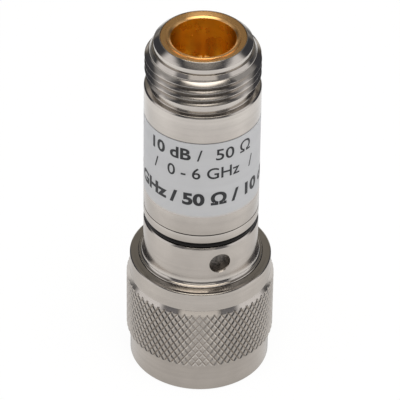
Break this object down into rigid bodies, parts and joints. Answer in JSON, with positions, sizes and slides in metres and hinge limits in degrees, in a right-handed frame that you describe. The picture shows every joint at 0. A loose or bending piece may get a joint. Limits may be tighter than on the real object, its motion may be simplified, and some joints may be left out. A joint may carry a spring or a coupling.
{
  "type": "coaxial rf attenuator",
  "caption": "In-line fixed coaxial attenuator: knurled coupling nut with a plug at one end, slim round body with a label, threaded jack at the other.",
  "frame": {"origin": "centre of the coupling nut's bottom face, on the axis of the line", "axes": "+Z along the line from plug to jack, -Y towards the camera of the picture, the spanner hole 20 degrees from -Y towards +X"},
  "size_m": [0.0206, 0.0206, 0.0544],
  "materials": {
    "steel": "turned and passivated stainless steel, satin",
    "gold": "gold plating over a copper alloy",
    "silver": "silver plating over brass",
    "seal": "black fluorocarbon rubber, matt",
    "gasket": "red silicone rubber, matt",
    "label": "silver-grey polyester film",
    "bead": "white engineering plastic",
    "ceramic": "fired alumina ceramic"
  },
  "bodies": {
    "body": {"plug_body": "steel", "retaining_ring": "steel", "seal_ring": "seal", "spacer_ring": "steel", "sleeve": "steel", "label_film": "label", "jack_shell": "steel", "jack_outer_contact": "gold", "jack_centre_contact": "gold", "jack_bead": "bead", "plug_outer_contact": "gold", "plug_gasket": "gasket", "plug_pin": "gold", "plug_bead": "bead", "attenuator_card": "ceramic", "card_holder_front": "silver", "card_holder_back": "silver", "plug_card_contact": "gold", "jack_card_contact": "gold", "plug_ground_ring": "gold", "jack_ground_ring": "gold"},
    "nut": {"coupling_nut": "steel"}
  },
  "joints": [
    {"name": "nut_spin", "type": "hinge", "parent": "body", "child": "nut", "pos_m": [0, 0, 0.01555], "axis": [0, 0, 1], "continuous": true}
  ]
}
